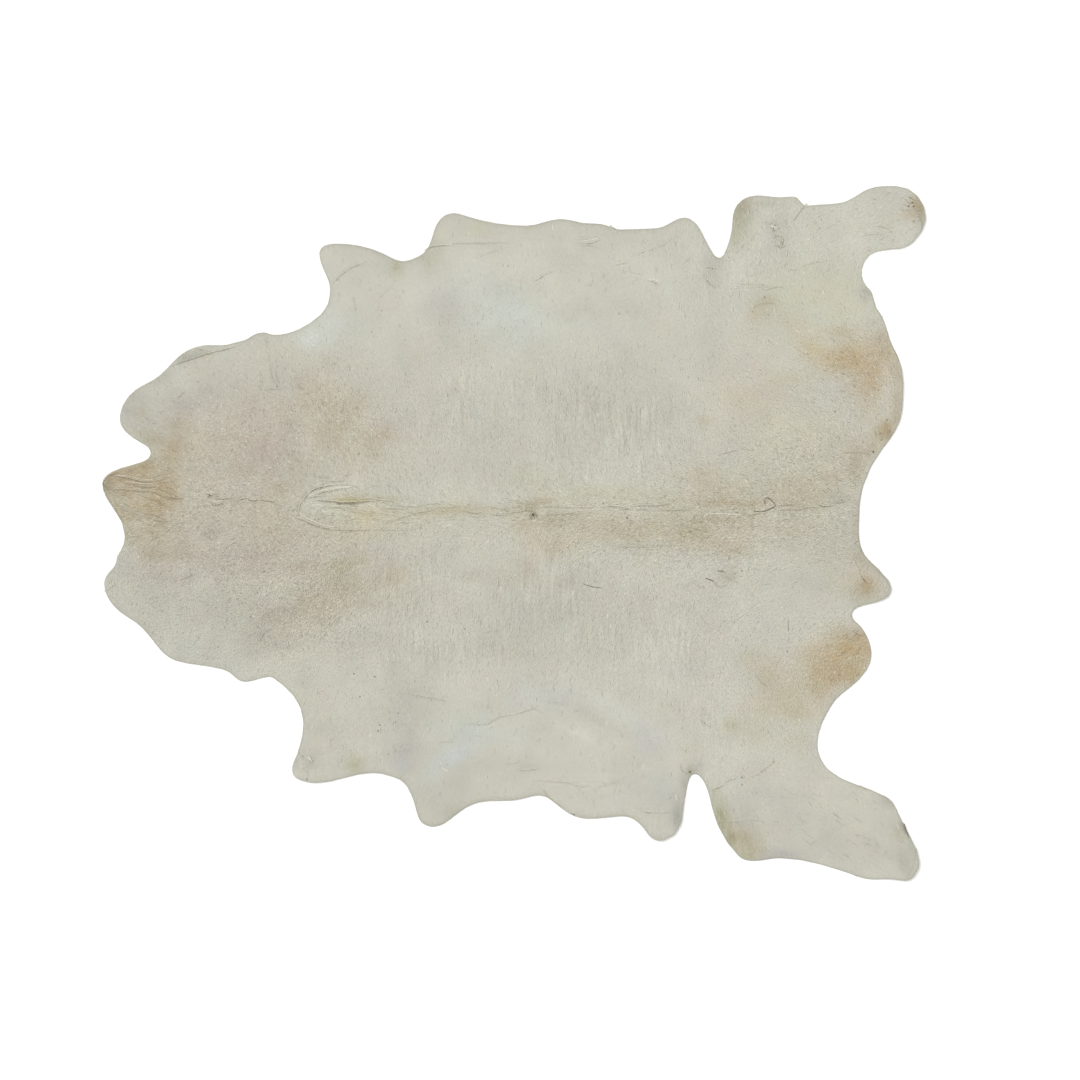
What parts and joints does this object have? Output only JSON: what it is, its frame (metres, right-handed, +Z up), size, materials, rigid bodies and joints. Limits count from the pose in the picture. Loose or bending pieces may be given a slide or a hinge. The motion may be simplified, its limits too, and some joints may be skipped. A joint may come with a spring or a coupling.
{
  "type": "cowhide rug",
  "caption": "Whole hair-on cowhide rug in pale cream with tan patches, trimmed to its natural outline and laid flat on a floor.",
  "frame": {"origin": "middle of the hide's box, on the surface that it lies on", "axes": "+X along the spine from tail to neck, +Y to the animal's left, +Z up out of the hair side"},
  "size_m": [2.226, 1.878, 0.0127],
  "materials": {
    "hide": "short natural hair on tanned leather, pale cream with tan patches"
  },
  "bodies": {
    "root": {"hide": "hide"}
  },
  "joints": []
}
